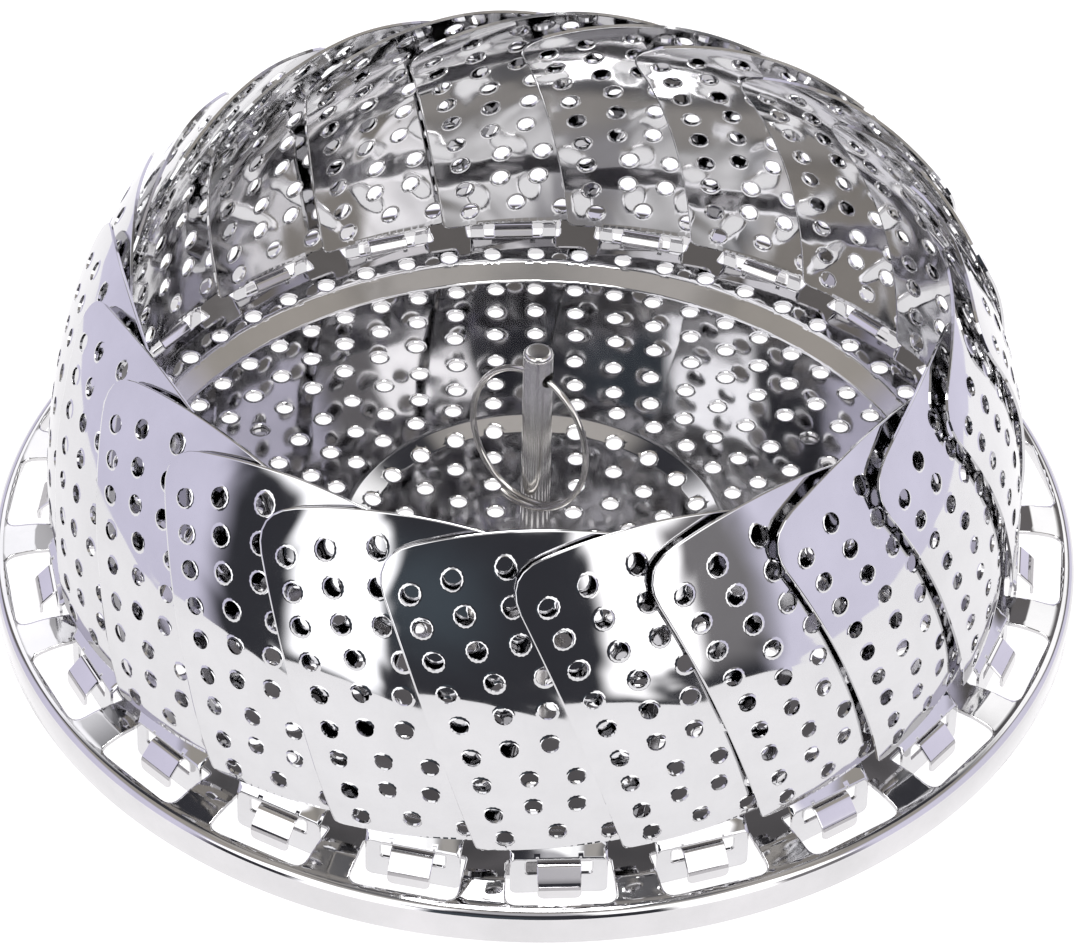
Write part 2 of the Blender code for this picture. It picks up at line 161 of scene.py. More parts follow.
def counter_clockwise(ring):
    """The same closed outline, running counter-clockwise."""
    doubled = sum(a[0] * b[1] - b[0] * a[1] for a, b in zip(ring, list(ring[1:]) + [ring[0]]))
    return list(ring) if doubled > 0 else list(ring)[::-1]


def unit(vectors):
    """The same directions, each of length 1."""
    return vectors / np.linalg.norm(vectors, axis=1)[:, None]


def into_sheet(ring, outer):
    """Directions from the points of a closed outline into the sheet."""
    marks = np.array(ring)
    along = unit(np.roll(marks, -1, axis=0) - np.roll(marks, 1, axis=0))
    inward = np.column_stack([-along[:, 1], along[:, 0]])
    return inward if outer else -inward


def directions(surface, flat):
    """A bent sheet's unit directions along X and Y of the flat, and its unit normal."""
    step = 0.02 * mm
    along_x = surface(flat + (step, 0)) - surface(flat - (step, 0))
    along_y = surface(flat + (0, step)) - surface(flat - (0, step))
    return unit(along_x), unit(along_y), unit(np.cross(along_x, along_y))


def meshed_plan(outline, windows, holes, grid, rounded=True):
    """A sheet in the flat: points and triangles, and each point's lip depth, lip slope and edge slope."""
    points = []
    faces = []
    lips = {}
    edges = {}

    def cut(ring):
        start = len(points)
        points.extend(ring)
        faces.append(list(range(start, start + len(ring))))
        return start

    def cut_soft(ring, outer):
        ring = counter_clockwise(ring)
        start = cut(ring)
        away = into_sheet(ring, outer)
        for k, direction in enumerate(away):
            edges[start + k] = direction * edge_slope
        points.extend([tuple(p) for p in np.array(ring) + away * edge_width])

    if rounded:
        cut_soft(outline, True)
    else:
        cut(counter_clockwise(outline))
    for window in windows:
        cut_soft(window, False)
    for cx, cy in holes:
        for number, (scale, depth, slope) in enumerate(lip_rings):
            ring = []
            for k in range(hole_sides):
                angle = math.tau * (k + 0.5 * (number % 2)) / hole_sides
                ux, uy = math.cos(angle), math.sin(angle)
                lips[len(points) + k] = (depth, ux * slope, uy * slope)
                ring.append((cx + hole_radius * scale * ux, cy + hole_radius * scale * uy))
            if number == 0:
                cut(ring)
            else:
                points.extend(ring)
    points.extend(grid)
    plan = [Vector(p) for p in points]
    merged, _, triangles, sources, _, owners = delaunay_2d_cdt(plan, [], faces, 0, 1e-7, True)
    flat = np.array([(v.x, v.y) for v in merged])
    depth = np.zeros(len(flat))
    lip_slope = np.zeros((len(flat), 2))
    edge_turn = np.zeros((len(flat), 2))
    for i, origins in enumerate(sources):
        for origin in origins:
            if origin in lips:
                depth[i] = lips[origin][0]
                lip_slope[i] = lips[origin][1:]
            if origin in edges:
                edge_turn[i] = edges[origin]
    tri = np.array([t for t, within in zip(triangles, owners) if within == [0]])
    doubled = np.cross(flat[tri[:, 1]] - flat[tri[:, 0]], flat[tri[:, 2]] - flat[tri[:, 0]])
    tri[doubled < 0] = tri[doubled < 0][:, ::-1]
    return flat, tri, depth, lip_slope, edge_turn


def perforated(name, plan, surface, thickness, lip, polish=None, lift=None):
    """A sheet with punched holes, bent by a surface function, as a closed mesh with smooth normals.

    The normals follow polish in place of the surface where it is given, and lift makes them look up more.
    """
    flat, tri, depth, lip_slope, edge_turn = plan
    here = surface(flat)
    tu, tv, normal = directions(surface, flat)
    dipped = here - normal * (depth * lip)[:, None]
    top = dipped + normal * thickness / 2
    low = dipped - normal * thickness / 2
    if polish is not None:
        tu, tv, normal = directions(polish, flat)
    dimpled = normal - (tu * lip_slope[:, :1] + tv * lip_slope[:, 1:])
    if lift is not None:
        dimpled = dimpled - tv * lift(flat)[:, None]
    rolled = tu * edge_turn[:, :1] + tv * edge_turn[:, 1:]
    above = unit(dimpled - rolled)
    under = unit(-dimpled - rolled)
    seen = {}
    for a, b, c in tri.tolist():
        for pair in ((a, b), (b, c), (c, a)):
            seen[pair] = True
    border = [(a, b) for a, b in seen if (b, a) not in seen]
    count = len(flat)
    walls = [[a, a + count, b + count, b] for a, b in border]
    mesh = bpy.data.meshes.new(name)
    all_faces = tri.tolist() + (tri[:, ::-1] + count).tolist() + walls
    mesh.from_pydata(np.vstack([top, low]).tolist(), [], all_faces)
    mesh.shade_smooth()
    sides = []
    for a, b in border:
        side = np.cross(here[b] - here[a], normal[a])
        side /= np.linalg.norm(side) or 1.0
        sides += [side] * 4
    corners = np.vstack([above[tri.reshape(-1)], under[tri[:, ::-1].reshape(-1)], sides])
    mesh.normals_split_custom_set(corners.tolist())
    return mesh


def grid_points(outline, windows, holes, spacing):
    """Inner points of a sheet, clear of its outline and its holes."""
    marks = np.array(outline)
    low, high = marks.min(axis=0), marks.max(axis=0)
    xs = np.arange(low[0] + spacing / 2, high[0], spacing)
    ys = np.arange(low[1] + spacing / 2, high[1], spacing)
    x, y = np.meshgrid(xs, ys)
    x[1::2] += spacing / 2
    spots = np.column_stack([x.ravel(), y.ravel()])
    edge_clearance = spacing * 0.55
    spots = spots[inside(spots, outline)]
    spots = spots[~near_outline(spots, outline, edge_clearance)]
    for window in windows:
        spots = spots[~inside(spots, window)]
        spots = spots[~near_outline(spots, window, edge_clearance)]
    spots = spots[~near_outline(spots, holes, lip_clearance + spacing * 0.4)]
    return [tuple(s) for s in spots]


def add_piece(name, mesh, material):
    """Link a mesh as a piece."""
    made = bpy.data.objects.new(name, mesh)
    bpy.context.scene.collection.objects.link(made)
    if not mesh.materials:
        mesh.materials.append(material)
    return made


def clock(angle, radius=0.0, height=0.0):
    """Stand at an angle counted clockwise from +Y, facing out along the local +Y."""
    place = Matrix.Translation((radius * math.sin(angle), radius * math.cos(angle), height))
    return place @ Matrix.Rotation(-angle, 4, "Z")


# Materials
def node(tree, kind, **values):
    """A shader node with its inputs set."""
    made = tree.nodes.new(kind)
    for key, value in values.items():
        name = key.replace("_", " ")
        if name in made.inputs:
            made.inputs[name].default_value = value
        else:
            setattr(made, key, value)
    return made


def steel(name, light, dark, rough_low, rough_high, wave, wave_size, grain=0.0):
    """Stainless steel: smudges, a film that dulls it in places, a slow waviness, and scratches by grain."""
    made = bpy.data.materials.new(name)
    made.use_nodes = True
    tree = made.node_tree
    shader = tree.nodes["Principled BSDF"]
    shader.inputs["Metallic"].default_value = 1.0
    place = node(tree, "ShaderNodeTexCoord")
    smudge = node(tree, "ShaderNodeTexNoise", Scale=46.0, Detail=5.0, Roughness=0.62)
    tree.links.new(place.outputs["Object"], smudge.inputs["Vector"])
    tone = node(tree, "ShaderNodeValToRGB")
    tone.color_ramp.elements[0].position = 0.32
    tone.color_ramp.elements[0].color = (*dark, 1)
    tone.color_ramp.elements[1].position = 0.68
    tone.color_ramp.elements[1].color = (*light, 1)
    tree.links.new(smudge.outputs["Fac"], tone.inputs["Fac"])
    tree.links.new(tone.outputs["Color"], shader.inputs["Base Color"])
    gloss = node(tree, "ShaderNodeMapRange")
    gloss.inputs["From Min"].default_value = 0.3
    gloss.inputs["From Max"].default_value = 0.75
    gloss.inputs["To Min"].default_value = rough_low
    gloss.inputs["To Max"].default_value = rough_high
    film = node(tree, "ShaderNodeTexNoise", Scale=150.0, Detail=3.0, Roughness=0.6)
    tree.links.new(place.outputs["Object"], film.inputs["Vector"])
    tree.links.new(film.outputs["Fac"], gloss.inputs["Value"])
    tree.links.new(gloss.outputs["Result"], shader.inputs["Roughness"])
    slow = node(tree, "ShaderNodeTexNoise", Scale=wave_size, Detail=2.0, Roughness=0.45, Distortion=0.6)
    tree.links.new(place.outputs["Object"], slow.inputs["Vector"])
    swell = node(tree, "ShaderNodeBump", Strength=wave, Distance=0.0016)
    tree.links.new(slow.outputs["Fac"], swell.inputs["Height"])
    last = swell
    if grain:
        stretch = node(tree, "ShaderNodeMapping")
        stretch.inputs["Scale"].default_value = (900.0, 900.0, 60.0)
        tree.links.new(place.outputs["Object"], stretch.inputs["Vector"])
        lines = node(tree, "ShaderNodeTexNoise", Scale=1.0, Detail=2.0)
        tree.links.new(stretch.outputs["Vector"], lines.inputs["Vector"])
        scratch = node(tree, "ShaderNodeBump", Strength=grain, Distance=0.00005)
        tree.links.new(lines.outputs["Fac"], scratch.inputs["Height"])
        tree.links.new(swell.outputs["Normal"], scratch.inputs["Normal"])
        last = scratch
    tree.links.new(last.outputs["Normal"], shader.inputs["Normal"])
    return made


petal_steel = steel("petal_polish", (0.68, 0.678, 0.688), (0.60, 0.598, 0.607), 0.03, 0.08, 0.26, 42.0)
plate_steel = steel("plate_polish", (0.70, 0.69, 0.70), (0.61, 0.605, 0.61), 0.035, 0.095, 0.16, 30.0)
post_steel = steel("post_turned", (0.70, 0.69, 0.68), (0.60, 0.59, 0.58), 0.15, 0.21, 0.01, 120.0)
wire_steel = steel("wire_drawn", (0.62, 0.605, 0.585), (0.54, 0.525, 0.505), 0.10, 0.18, 0.01, 160.0)
leg_steel = steel("leg_satin", (0.78, 0.775, 0.775), (0.68, 0.675, 0.675), 0.16, 0.28, 0.12, 80.0, 0.5)


# Base plate
fillet = 0.35 * mm
post_hole_radius = 2.0 * mm
plate_lip = 0.06 * mm
plate_lip_clearance = 1.45 * hole_radius
rim_sides = 264
band_sides = 308
dish_sides = 150
tongue_half = 3.5 * mm
tongue_sheet = 0.56 * mm
tongue_tip = (hinge_radius + 2.9 * mm, plate_level - 3.5 * mm)


def ramp(x, start, end):
    """0 before start, 1 after end, straight between them, with small fillets."""

    def bend(y):
        return np.where(np.abs(y) < fillet, (y + fillet) ** 2 / (4 * fillet), np.maximum(y, 0))

    return (bend(x - start) - bend(x - end)) / (end - start)


def plate_surface(plan):
    """Height of the plate's middle surface over its plan."""
    r = np.linalg.norm(plan, axis=1)
    z = np.full(len(r), dish_level)
    z = z + dish_drop * ramp(r, dish_foot, dish_top)
    z = z + floor_drop * ramp(r, band_foot, band_top)
    z = z - rim_drop * ramp(r, slope_start, slope_end)
    return np.column_stack([plan, z])


def circle(radius, count, phase=0.0):
    """Points round a circle, clockwise from +Y."""
    angles = [phase + math.tau * k / count for k in range(count)]
    return [(radius * math.sin(angle), radius * math.cos(angle)) for angle in angles]


def window_outline(angle):
    """One window in plan, its corners rounded."""
    inner = window_inner_width / 2
    outer = window_outer_width / 2
    flat = [(-inner, window_inner), (inner, window_inner), (outer, window_outer), (-outer, window_outer)]
    made = refine(round_outline(flat, (0.7 * mm, 0.7 * mm, 2.2 * mm, 2.2 * mm)), 2.0 * mm)
    c, s = math.cos(-angle), math.sin(-angle)
    return [(c * x - s * y, s * x + c * y) for x, y in made]


def plate_holes():
    """The plate's perforation, ring by ring, lined up behind the post."""
    rings = (
        (75.2, 60), (68.0, 60), (61.6, 54), (55.3, 48), (48.1, 43), (41.6, 37), (36.4, 31),
        (29.8, 26), (23.3, 20), (16.7, 14), (10.4, 9),
    )
    phase = math.radians(-0.7)
    return [spot for radius, count in rings for spot in circle(radius * mm, count, phase)]


def plate_grid(windows, holes):
    """Rings of points that follow the plate's pressed steps, clear of its windows and holes."""
    beside = np.array((-0.7, -0.4, -0.15, 0.15, 0.4, 0.7)) * mm
    dish_rows = [edge + step for edge in (dish_foot, dish_top) for step in beside] + [31.2 * mm]
    band_rows = [edge + step for edge in (band_foot, band_top, slope_start) for step in beside]
    band_rows += [radius * mm for radius in (71.9, 77.2, 79.0, 81.0, 83.0, 87.0)]
    band_rows += [slope_end - 0.4 * mm, slope_end]
    grid = []
    for radius in dish_rows:
        grid += circle(radius, dish_sides)
    for radius in band_rows:
        grid += circle(radius, band_sides)
    for window in windows:
        hits = inside(np.array(grid), window)
        grid = [p for p, hit in zip(grid, hits) if not hit]
    hits = near_outline(np.array(grid), holes, plate_lip_clearance)
    return [p for p, hit in zip(grid, hits) if not hit]


def make_plate():
    """The pressed sheet with its windows and round holes."""
    outline = circle(roll_start, rim_sides)
    windows = [circle(post_hole_radius, 24)]
    windows += [window_outline(petal_phase + k * math.tau / petal_count) for k in range(petal_count)]
    holes = plate_holes()
    filler = grid_points(outline, windows, holes, 3.0 * mm)
    filler = [p for p in filler if not dish_foot - 1.2 * mm < math.hypot(*p) < dish_top + 1.3 * mm]
    filler = [p for p in filler if math.hypot(*p) <= band_foot - 1.2 * mm]
    plan = meshed_plan(outline, windows, holes, plate_grid(windows, holes) + filler, rounded=False)
    mesh = perforated("plate_sheet", plan, plate_surface, plate_sheet, plate_lip)
    plate = add_piece("plate_sheet", mesh, plate_steel)
    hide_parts("base_plate")
    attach(plate, "base")


def turned(name, profile, steps, material):
    """A closed profile turned about the vertical axis."""
    verts = [(*spot, z) for x, z in profile for spot in circle(x, steps)]
    count = len(profile)
    faces = []
    for i in range(count):
        j = (i + 1) % count
        for k in range(steps):
            n = (k + 1) % steps
            faces.append((i * steps + k, i * steps + n, j * steps + n, j * steps + k))
    mesh = bpy.data.meshes.new(name)
    mesh.from_pydata(verts, [], faces)
    shape = bmesh.new()
    shape.from_mesh(mesh)
    bmesh.ops.remove_doubles(shape, verts=shape.verts, dist=0.002 * mm)
    bmesh.ops.recalc_face_normals(shape, faces=shape.faces)
    shape.to_mesh(mesh)
    shape.free()
    mesh.shade_smooth()
    mesh.set_sharp_from_angle(angle=math.radians(35))
    return add_piece(name, mesh, material)


def make_rim():
    """The rolled rim and the skirt, round the sheet's edge."""
    half = plate_sheet / 2
    top = plate_level - rim_drop
    foot = plate_level - skirt_height
    sides = []
    for side in (1, -1):
        bend = rim_roll + side * half
        row = [(roll_start, top + side * half)]
        for k in range(1, 9):
            a = math.radians(90 * k / 8)
            row.append((roll_start + bend * math.sin(a), top - rim_roll + bend * math.cos(a)))
        face = rim_radius - half + side * half
        row += [(face, foot + 0.25 * mm), (face - side * 0.12 * mm, foot)]
        sides.append(row)
    outer, inner = sides
    rim = turned("rim_and_skirt", outer + inner[::-1], rim_sides, plate_steel)
    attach(rim, "base")


def tongue_path():
    """The middle of a tongue from its root to the end of its last bend, with soft bends."""
    raw = [
        (window_inner - 0.4 * mm, plate_level),
        (hinge_radius - 1.5 * mm, plate_level),
        (hinge_radius - 0.5 * mm, plate_level + 1.1 * mm),
        (hinge_radius + 0.5 * mm, plate_level + 1.1 * mm),
        (hinge_radius + 2.9 * mm, plate_level - 1.3 * mm),
        tongue_tip,
    ]
    out = [raw[0]]
    for a, b, c in zip(raw, raw[1:], raw[2:]):
        a, b, c = np.array(a), np.array(b), np.array(c)
        reach = 0.42 * min(np.linalg.norm(a - b), np.linalg.norm(c - b), 1.4 * mm)
        first = b + (a - b) / np.linalg.norm(a - b) * reach
        last = b + (c - b) / np.linalg.norm(c - b) * reach
        for k in range(5):
            t = k / 4
            out.append(tuple((1 - t) ** 2 * first + 2 * t * (1 - t) * b + t * t * last))
    return out


def strip(name, path, widths, thickness):
    """A closed sheet along a path in the plane of Y and Z, its half width along X given at each point."""
    pts = np.array(path)
    tangent = unit(np.gradient(pts, axis=0))
    normal = np.column_stack([-tangent[:, 1], tangent[:, 0]])
    bevel = thickness * 0.22
    # Each corner's side along X, its bevel along X, its level in the thickness and its bevel there
    section = [
        (-1, 0, 0.5, 1), (-1, 1, 0.5, 0), (1, -1, 0.5, 0), (1, 0, 0.5, 1),
        (1, 0, -0.5, 1), (1, -1, -0.5, 0), (-1, 1, -0.5, 0), (-1, 0, -0.5, 1),
    ]
    corners = len(section)
    verts = []
    for p, n, wide in zip(pts, normal, widths):
        for side, pull, level, cut in section:
            x = side * wide + pull * bevel
            h = level * thickness - math.copysign(bevel * cut, level)
            verts.append((x, p[0] + n[0] * h, p[1] + n[1] * h))
    faces = []
    for start in range(0, len(verts) - corners, corners):
        for k in range(corners):
            n = (k + 1) % corners
            faces.append((start + k, start + n, start + corners + n, start + corners + k))
    faces.append(tuple(range(corners)))
    faces.append(tuple(range(len(verts) - 1, len(verts) - corners - 1, -1)))
    mesh = bpy.data.meshes.new(name)
    mesh.from_pydata(verts, [], faces)
    shape = bmesh.new()
    shape.from_mesh(mesh)
    bmesh.ops.recalc_face_normals(shape, faces=shape.faces)
    shape.to_mesh(mesh)
    shape.free()
    mesh.shade_smooth()
    mesh.set_sharp_from_angle(angle=math.radians(30))
    return mesh


def make_tongues():
    """One bent tongue at each window, its tip rounded."""
    path = tongue_path()
    widths = [tongue_half] * len(path)
    for above, narrower in ((0.9, 0.0), (0.4, 0.12), (0.12, 0.42), (0.0, 0.95)):
        path.append((tongue_tip[0], tongue_tip[1] + above * mm))
        widths.append(tongue_half - narrower * mm)
    mesh = strip("tongue", path, widths, tongue_sheet)
    for k in range(petal_count):
        tongue = add_piece(f"tongue_{k + 1:02d}", mesh, plate_steel)
        tongue.matrix_world = clock(petal_phase + k * math.tau / petal_count)
        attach(tongue, "base")


# Petals
petal_lip = 0.09 * mm
foot_lip_clearance = 1.7 * hole_radius
edge_tuck = 1.0 * mm
jog = 1.9 * mm
crease = 0.13 * mm
least_lean = math.radians(11.0)
lean_blend = math.radians(3.0)


def ease(x, start, end):
    """A smooth rise from 0 to 1."""
    t = np.clip((x - start) / (end - start), 0, 1)
    return t * t * (3 - 2 * t)


def tuck(across, along):
    """How far a petal's upper edge is drawn in towards the petal that it lies on."""
    return edge_tuck * ease(across, 0.1, 1.0) * ease(along, 0.0, 0.4) * (1 - 0.35 * ease(along, 0.6, 1.0))


def wall(flat, tucked=1.0):
    """The wall's middle surface about the hinge axis, with all or a share of the tuck."""
    along = flat[:, 1] / wall_length
    half = wall_foot_half + (wall_tip_half - wall_foot_half) * along
    across = flat[:, 0] / half
    arched = along + tip_arch / wall_length * (1 - across**2) * np.clip(along, 0, 2) ** 4
    travelled = arched * wall_length
    lean = travelled / wall_bow - wall_foot_lean
    out = wall_bow * (np.cos(lean) - math.cos(wall_foot_lean)) - wall_step_in
    up = wall_rise + wall_bow * (np.sin(lean) + math.sin(wall_foot_lean))
    width = flat[:, 0]
    curl = 1 / foot_curl + (1 / tip_curl - 1 / foot_curl) * along
    sink = -(width**2) * curl / 2
    twist = foot_twist + (tip_twist - foot_twist) * along
    side = width * np.cos(twist) - sink * np.sin(twist) + travelled * math.tan(wall_slant)
    normal = width * np.sin(twist) + sink * np.cos(twist) - tucked * tuck(across, along)
    return np.column_stack([side, out + normal * np.cos(lean), up + normal * np.sin(lean)])


def petal_surface(flat, tucked=1.0):
    """The wall, and below it the foot: a straight band out to the hinge line, then a flat that hangs down."""
    made = wall(np.column_stack([flat[:, 0], np.maximum(flat[:, 1], 0)]), tucked)
    low = flat[:, 1] < 0
    x = flat[low, 0]
    drop = -flat[low, 1]
    first = wall(np.column_stack([x, np.zeros(len(x))]))
    last = np.column_stack([x, np.zeros(len(x)), np.full(len(x), foot_bend)])
    t = np.clip(drop / jog, 0, 1)[:, None]
    band = first * (1 - t) + last * t
    band[:, 2] -= np.maximum(drop - jog, 0)
    made[low] = band
    return made


def petal_finish(flat):
    """The surface that the petal's polish follows, without the tucked edge."""
    return petal_surface(flat, 0.0)


def wall_lift(flat):
    """How much more the lower wall's finish faces up than its plain bow would."""
    lean = flat[:, 1] / wall_bow - wall_foot_lean
    short = least_lean - lean
    more = (short + np.sqrt(short**2 + lean_blend**2)) / 2
    return np.where(flat[:, 1] > 0, np.tan(more), 0.0)


def petal_hole_rows():
    """The petal's perforation: arched rows that close up towards the foot."""
    rows = (
        (3.0, 4.2, (-8.4, 0.0, 8.4)),
        (8.1, 10.2, (-9.8, -3.45, 3.45, 9.8)),
        (14.1, 15.8, (-11.2, -3.7, 3.7, 11.2)),
        (19.4, 22.2, (-12.4, -6.4, 0.0, 6.4, 12.4)),
        (25.4, 28.2, (-13.8, -6.9, 0.0, 6.9, 13.8)),
        (30.9, 34.0, (-15.2, -7.8, 0.0, 7.8, 15.2)),
        (36.6, 39.2, (-16.7, -10.0, -3.3, 3.3, 10.0, 16.7)),
        (42.0, 44.6, (-18.0, -11.4, -4.1, 4.1, 11.4, 18.0)),
        (47.3, 49.9, (-19.3, -12.8, -4.5, 4.5, 12.8, 19.3)),
    )
    holes = []
    for side, middle, places in rows:
        edge = places[-1]
        for x in places:
            y = middle - (middle - side) * (x / edge) ** 2
            holes.append((x * mm, y * mm))
    return holes


def petal_outline():
    """The petal in the flat, foot included."""
    low = -(jog + foot_bend + foot_fall)
    corner = 0.01 * mm
    raw = [
        (foot_half, 0.0), (wall_foot_half, corner), (wall_tip_half, wall_length),
        (-wall_tip_half, wall_length), (-wall_foot_half, corner), (-foot_half, 0.0),
        (-foot_half, low), (foot_half, low),
    ]
    radii = (0.5 * mm, 1.4 * mm, 5.6 * mm, 5.6 * mm, 1.4 * mm, 0.5 * mm, 1.2 * mm, 1.2 * mm)
    return refine(round_outline(raw, radii, 6), 2.0 * mm)


def slot_outline():
    """The slot in the petal's foot, its corners rounded."""
    top = -(jog + foot_bend - slot_rise)
    bottom = -(jog + foot_bend + slot_fall)
    flat = [(-slot_half, bottom), (slot_half, bottom), (slot_half, top), (-slot_half, top)]
    return refine(round_outline(flat, (0.5 * mm,) * 4), 1.5 * mm)


def foot_grid(holes):
    """Rows of points along the foot's two creases and the wall's lowest strip."""
    grid = []
    for y in (0.0, -crease, -jog / 2, crease - jog, -jog, -crease - jog):
        grid += [(x * mm, y) for x in np.arange(-7.0, 7.1, 1.0)]
    for y in (crease, 0.8 * mm, 1.8 * mm):
        grid += [(x * mm, y) for x in np.arange(-11.2, 11.3, 1.4)]
    return [p for p in grid if all(math.dist(p, hole) > foot_lip_clearance for hole in holes)]


def make_petals():
    """Twenty-two copies of one perforated petal."""
    outline = petal_outline()
    slot = slot_outline()
    holes = petal_hole_rows()
    filler = grid_points(outline, [slot], holes, 2.6 * mm)
    filler = [p for p in filler if p[1] > 2.4 * mm or p[1] < -jog - 0.4 * mm]
    plan = meshed_plan(outline, [slot], holes, foot_grid(holes) + filler)
    mesh = perforated("petal_sheet", plan, petal_surface, petal_sheet, petal_lip, petal_finish, wall_lift)
    for k in range(petal_count):
        petal = add_piece(f"petal_sheet_{k + 1:02d}", mesh, petal_steel)
        petal.matrix_world = clock(petal_phase + k * math.tau / petal_count, hinge_radius, plate_level)
        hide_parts(f"petal_{k + 1:02d}")
        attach(petal, f"petal_{k + 1:02d}_body")


# Centre post and ring
post_radius = 2.5 * mm
post_foot = dish_level + plate_sheet / 2 + 0.3 * mm
post_top = post_foot + 42.0 * mm
post_round_off = 0.75 * mm
post_sides = 64
eye_level = post_top - 5.0 * mm
eye_radius = 1.4 * mm
eye_azimuth = math.radians(39.0)
stud_radius = 1.7 * mm
stud_foot = dish_level - plate_sheet / 2 - 5.0 * mm
wire_radius = 0.55 * mm
ring_radius = 12.45 * mm
ring_pitch = 1.55 * mm / math.tau
ring_first = math.radians(-226.0)
ring_last = math.radians(196.0)
ring_tilt = math.asin(4.125 * mm / (2 * ring_radius))
ring_drop = 0.2 * mm


def post_profile():
    """Half of the post's section, from the middle of its top to the middle of the stud's end."""
    profile = [(0.0, post_top)]
    for k in range(7):
        a = math.radians(15 * k)
        side = post_radius - post_round_off + post_round_off * math.sin(a)
        profile.append((side, post_top - post_round_off + post_round_off * math.cos(a)))
    return profile + [
        (post_radius, post_top - post_round_off - 0.4 * mm),
        (post_radius, post_foot + 0.8 * mm),
        (post_radius, post_foot + 0.2 * mm),
        (post_radius - 0.2 * mm, post_foot),
        (stud_radius, post_foot),
        (stud_radius, stud_foot),
        (0.0, stud_foot),
    ]


def make_post():
    """The turned post, its top edge rounded, with the eye drilled across it."""
    post = turned("post_turned", post_profile(), post_sides, post_steel)
    shape = bmesh.new()
    lying = Matrix.Rotation(-eye_azimuth, 4, "Z") @ Matrix.Rotation(math.pi / 2, 4, "Y")
    place = Matrix.Translation((0, 0, eye_level)) @ lying
    size = {"radius1": eye_radius, "radius2": eye_radius, "depth": 8.0 * mm}
    bmesh.ops.create_cone(shape, cap_ends=True, segments=40, matrix=place, **size)
    mesh = bpy.data.meshes.new("eye")
    shape.to_mesh(mesh)
    shape.free()
    drill = bpy.data.objects.new("eye", mesh)
    bpy.context.scene.collection.objects.link(drill)
    cut = post.modifiers.new("Eye", "BOOLEAN")
    cut.operation = "DIFFERENCE"
    cut.solver = "EXACT"
    cut.object = drill
    bpy.context.view_layer.update()
    graph = bpy.context.evaluated_depsgraph_get()
    drilled = bpy.data.meshes.new_from_object(post.evaluated_get(graph))
    post.modifiers.clear()
    post.data = drilled
    drilled.shade_smooth()
    drilled.set_sharp_from_angle(angle=math.radians(35))
    bpy.data.objects.remove(drill)
    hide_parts("centre_post")
    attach(post, "base")


def make_ring():
    """The wire ring, one turn and a bit, its ends side by side near the bottom."""
    curve = bpy.data.curves.new("ring_wire", "CURVE")
    curve.dimensions = "3D"
    curve.bevel_depth = wire_radius
    curve.bevel_resolution = 5
    curve.use_fill_caps = True
    line = curve.splines.new("POLY")
    count = 150
    line.points.add(count)
    for k, spot in enumerate(line.points):
        a = ring_first + (ring_last - ring_first) * k / count
        spot.co = (ring_radius * math.sin(a), -ring_pitch * a, ring_radius * (math.cos(a) - 1), 1.0)
    drawn = bpy.data.objects.new("ring_wire", curve)
    bpy.context.scene.collection.objects.link(drawn)
    bpy.context.view_layer.update()
    mesh = bpy.data.meshes.new_from_object(drawn.evaluated_get(bpy.context.evaluated_depsgraph_get()))
    bpy.data.objects.remove(drawn)
    shape = bmesh.new()
    shape.from_mesh(mesh)
    bmesh.ops.remove_doubles(shape, verts=shape.verts, dist=0.005 * mm)
    bmesh.ops.recalc_face_normals(shape, faces=shape.faces)
    shape.to_mesh(mesh)
    shape.free()
    mesh.materials.clear()
    mesh.shade_smooth()
    mesh.set_sharp_from_angle(angle=math.radians(40))
    ring = add_piece("ring_wire", mesh, wire_steel)
    leaned = Matrix.Rotation(-eye_azimuth, 4, "Z") @ Matrix.Rotation(-ring_tilt, 4, "X")
    ring.matrix_world = Matrix.Translation((0, 0, eye_level - ring_drop)) @ leaned
    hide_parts("ring_handle")
    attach(ring, "ring_handle_body")


# Carried solids
def dress(name, material):
    """A solid whose shape is right keeps it and gets its finish."""
    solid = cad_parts[name]
    if solid.material_slots:
        solid.material_slots[0].material = material
    else:
        solid.data.materials.append(material)


make_plate()
make_rim()
make_tongues()
make_petals()
make_post()
make_ring()
for name in ("post_washer", "post_nut"):
    dress(name, post_steel)
for k in (1, 2, 3):
    for name in (f"leg_{k}", f"leg_bracket_{k}", f"leg_pin_{k}"):
        dress(name, leg_steel)


# Camera, its lengths in pixels of the photograph at the object's centre
pixel = 0.92 * mm
photo_width = 1080
focal_length = 5488
sensor_width = 36.0
camera_elevation = math.radians(40.61)
camera_roll = math.radians(1.31)
camera_distance = 1007.6 * pixel
camera_aim = Vector((0.77 * pixel, 0.0, plate_level + 13.81 * pixel))


def make_camera():
    """The photograph's view."""
    data = bpy.data.cameras.new("camera")
    data.sensor_width = sensor_width
    data.lens = focal_length * sensor_width / photo_width
    data.clip_start = 0.05
    camera = bpy.data.objects.new("camera", data)
    bpy.context.scene.collection.objects.link(camera)
    back = Vector((0.0, -math.cos(camera_elevation), math.sin(camera_elevation)))
    look = (-back).to_track_quat("-Z", "Y").to_matrix().to_4x4()
    roll = Matrix.Rotation(camera_roll, 4, "Z")
    camera.matrix_world = Matrix.Translation(camera_aim + back * camera_distance) @ look @ roll
    bpy.context.scene.camera = camera


# Table top and lamp
table_radius = 0.46
table_squeeze = 0.56
table_shift = 0.15
lamp_size = 0.5
lamp_height = 1.6
lamp_power = 7.0


